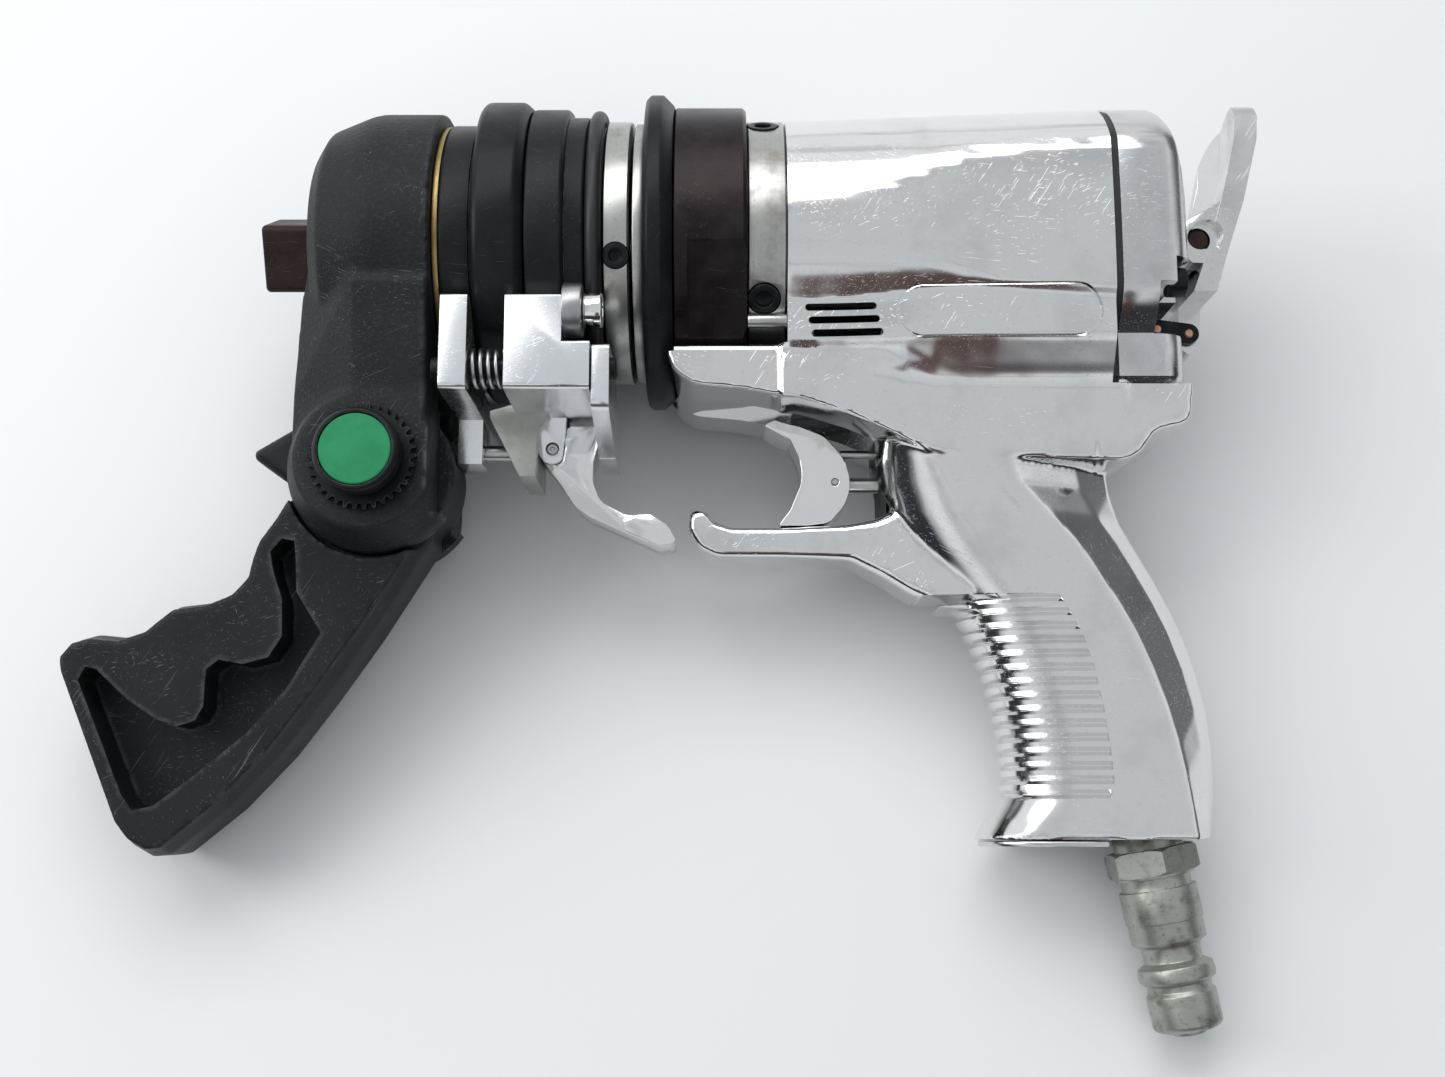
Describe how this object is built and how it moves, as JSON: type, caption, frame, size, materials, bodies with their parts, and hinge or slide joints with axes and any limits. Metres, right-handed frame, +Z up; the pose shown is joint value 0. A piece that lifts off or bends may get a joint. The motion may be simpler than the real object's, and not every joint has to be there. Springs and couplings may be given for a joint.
{
  "type": "pistol-grip pneumatic torque wrench",
  "caption": "Air-driven pistol-grip torque wrench with a square drive, a swivelling reaction arm, a folding side handle, a trigger and a reversing lever.",
  "frame": {"origin": "centre of the square drive's end face", "axes": "+X from the drive to the rear of the tool, along the output axis; +Z up from the bench that the tool lies on, with its grip pointing to -Y"},
  "size_m": [0.3299, 0.2603, 0.0898],
  "materials": {
    "polished_aluminium": "polished, scratched",
    "bright_chrome": "polished",
    "black_steel": "black oxide",
    "drive_steel": "worn black oxide",
    "machined_steel": "turned",
    "brass": "plain",
    "cast_steel": "blackened, rough cast",
    "handle_polymer": "fine matt",
    "black_rubber": "matt",
    "green_disc": "satin",
    "zinc_plate": "dull zinc"
  },
  "bodies": {
    "housing": {"motor_housing": "polished_aluminium", "motor_case": "machined_steel", "spacer_ring": "machined_steel", "flange_ring": "black_steel", "rear_collar": "black_steel", "rear_set_screw_1": "black_steel", "rear_set_screw_2": "black_steel", "motor_cylinder": "machined_steel", "front_end_plate": "polished_aluminium", "rear_end_plate": "polished_aluminium", "front_bearing": "machined_steel", "rear_bearing": "machined_steel", "cap_gasket": "black_rubber", "rear_cap": "polished_aluminium", "cap_screw_1": "black_steel", "cap_screw_2": "black_steel", "cap_screw_3": "black_steel", "cap_screw_4": "black_steel", "lever_pin": "machined_steel", "air_nipple": "zinc_plate"},
    "gearbox": {"reaction_arm": "cast_steel", "pivot_bolt": "black_steel", "index_ring": "black_steel", "thrust_washer": "brass", "gear_case": "black_steel", "front_collar": "black_steel", "step_sleeve": "black_steel", "seal_ring": "black_rubber", "front_band": "machined_steel", "front_set_screw": "black_steel", "ring_gear": "machined_steel", "nose_bush": "brass", "catch_block": "polished_aluminium", "finger_pin": "machined_steel", "catch_roller": "machined_steel", "roller_screw": "machined_steel"},
    "spindle": {"output_spindle": "drive_steel"},
    "planet_1": {"planet_gear_1": "machined_steel"},
    "planet_2": {"planet_gear_2": "machined_steel"},
    "planet_3": {"planet_gear_3": "machined_steel"},
    "rotor": {"rotor": "machined_steel", "rotor_vane_1": "black_rubber", "rotor_vane_2": "black_rubber", "rotor_vane_3": "black_rubber", "rotor_vane_4": "black_rubber"},
    "side_handle": {"side_handle": "handle_polymer"},
    "index_button": {"index_button": "black_steel", "button_disc": "green_disc"},
    "finger_lever": {"finger_lever": "polished_aluminium"},
    "latch": {"latch_plate": "polished_aluminium", "latch_yoke": "polished_aluminium", "latch_rod": "black_steel", "lock_pin": "machined_steel", "latch_spring": "machined_steel"},
    "trigger": {"trigger": "bright_chrome", "guide_pin": "machined_steel", "throttle_rod": "machined_steel"},
    "reverse_lever": {"reverse_lever": "bright_chrome"},
    "spool": {"reversing_spool": "machined_steel", "link_plate": "black_steel"}
  },
  "joints": [
    {"name": "gearbox_swivel", "type": "hinge", "parent": "housing", "child": "gearbox", "pos_m": [0.106, 0, 0], "axis": [1, 0, 0], "continuous": true},
    {"name": "drive_spin", "type": "hinge", "parent": "gearbox", "child": "spindle", "pos_m": [0, 0, 0], "axis": [1, 0, 0], "continuous": true},
    {"name": "rotor_spin", "type": "hinge", "parent": "gearbox", "child": "rotor", "pos_m": [0.125, 0, 0], "axis": [1, 0, 0], "continuous": true},
    {"name": "planet_1_spin", "type": "hinge", "parent": "spindle", "child": "planet_1", "pos_m": [0.097, 0.0148, 0.00242], "axis": [1, 0, 0], "continuous": true},
    {"name": "planet_2_spin", "type": "hinge", "parent": "spindle", "child": "planet_2", "pos_m": [0.097, -0.0095, 0.01161], "axis": [1, 0, 0], "continuous": true},
    {"name": "planet_3_spin", "type": "hinge", "parent": "spindle", "child": "planet_3", "pos_m": [0.097, -0.0053, -0.01403], "axis": [1, 0, 0], "continuous": true},
    {"name": "handle_fold", "type": "hinge", "parent": "gearbox", "child": "side_handle", "pos_m": [0.0357, -0.06602, -0.0108], "axis": [0, -0.1615, 0.9869], "range_deg": [-12, 40]},
    {"name": "index_button_press", "type": "slide", "parent": "gearbox", "child": "index_button", "axis": [0, 0.1615, -0.9869], "range_m": [0, 0.0018], "stiffness_N_per_m": 1500},
    {"name": "finger_lever_squeeze", "type": "hinge", "parent": "gearbox", "child": "finger_lever", "pos_m": [0.0835, -0.05901, -0.00966], "axis": [0, 0.1615, -0.9869], "range_deg": [0, 20]},
    {"name": "latch_slide", "type": "slide", "parent": "gearbox", "child": "latch", "axis": [1, 0, 0], "range_m": [0, 0.0025], "stiffness_N_per_m": 600},
    {"name": "trigger_pull", "type": "slide", "parent": "housing", "child": "trigger", "axis": [1, 0, 0], "range_m": [0, 0.007], "stiffness_N_per_m": 900},
    {"name": "reverse_lever_tilt", "type": "hinge", "parent": "housing", "child": "reverse_lever", "pos_m": [0.2635, -0.00187, -0.00031], "axis": [0, -0.1615, 0.9869], "range_deg": [-6, 10]},
    {"name": "spool_slide", "type": "slide", "parent": "housing", "child": "spool", "axis": [1, 0, 0], "range_m": [-0.003, 0.0045]}
  ],
  "couplings": [
    {"joint": "rotor_spin", "follows": "drive_spin", "ratio": 5},
    {"joint": "planet_1_spin", "follows": "drive_spin", "ratio": -2.6667},
    {"joint": "planet_2_spin", "follows": "drive_spin", "ratio": -2.6667},
    {"joint": "planet_3_spin", "follows": "drive_spin", "ratio": -2.6667},
    {"joint": "finger_lever_squeeze", "follows": "latch_slide", "rad_per_m": 139},
    {"joint": "spool_slide", "follows": "reverse_lever_tilt", "m_per_rad": 0.0234}
  ]
}
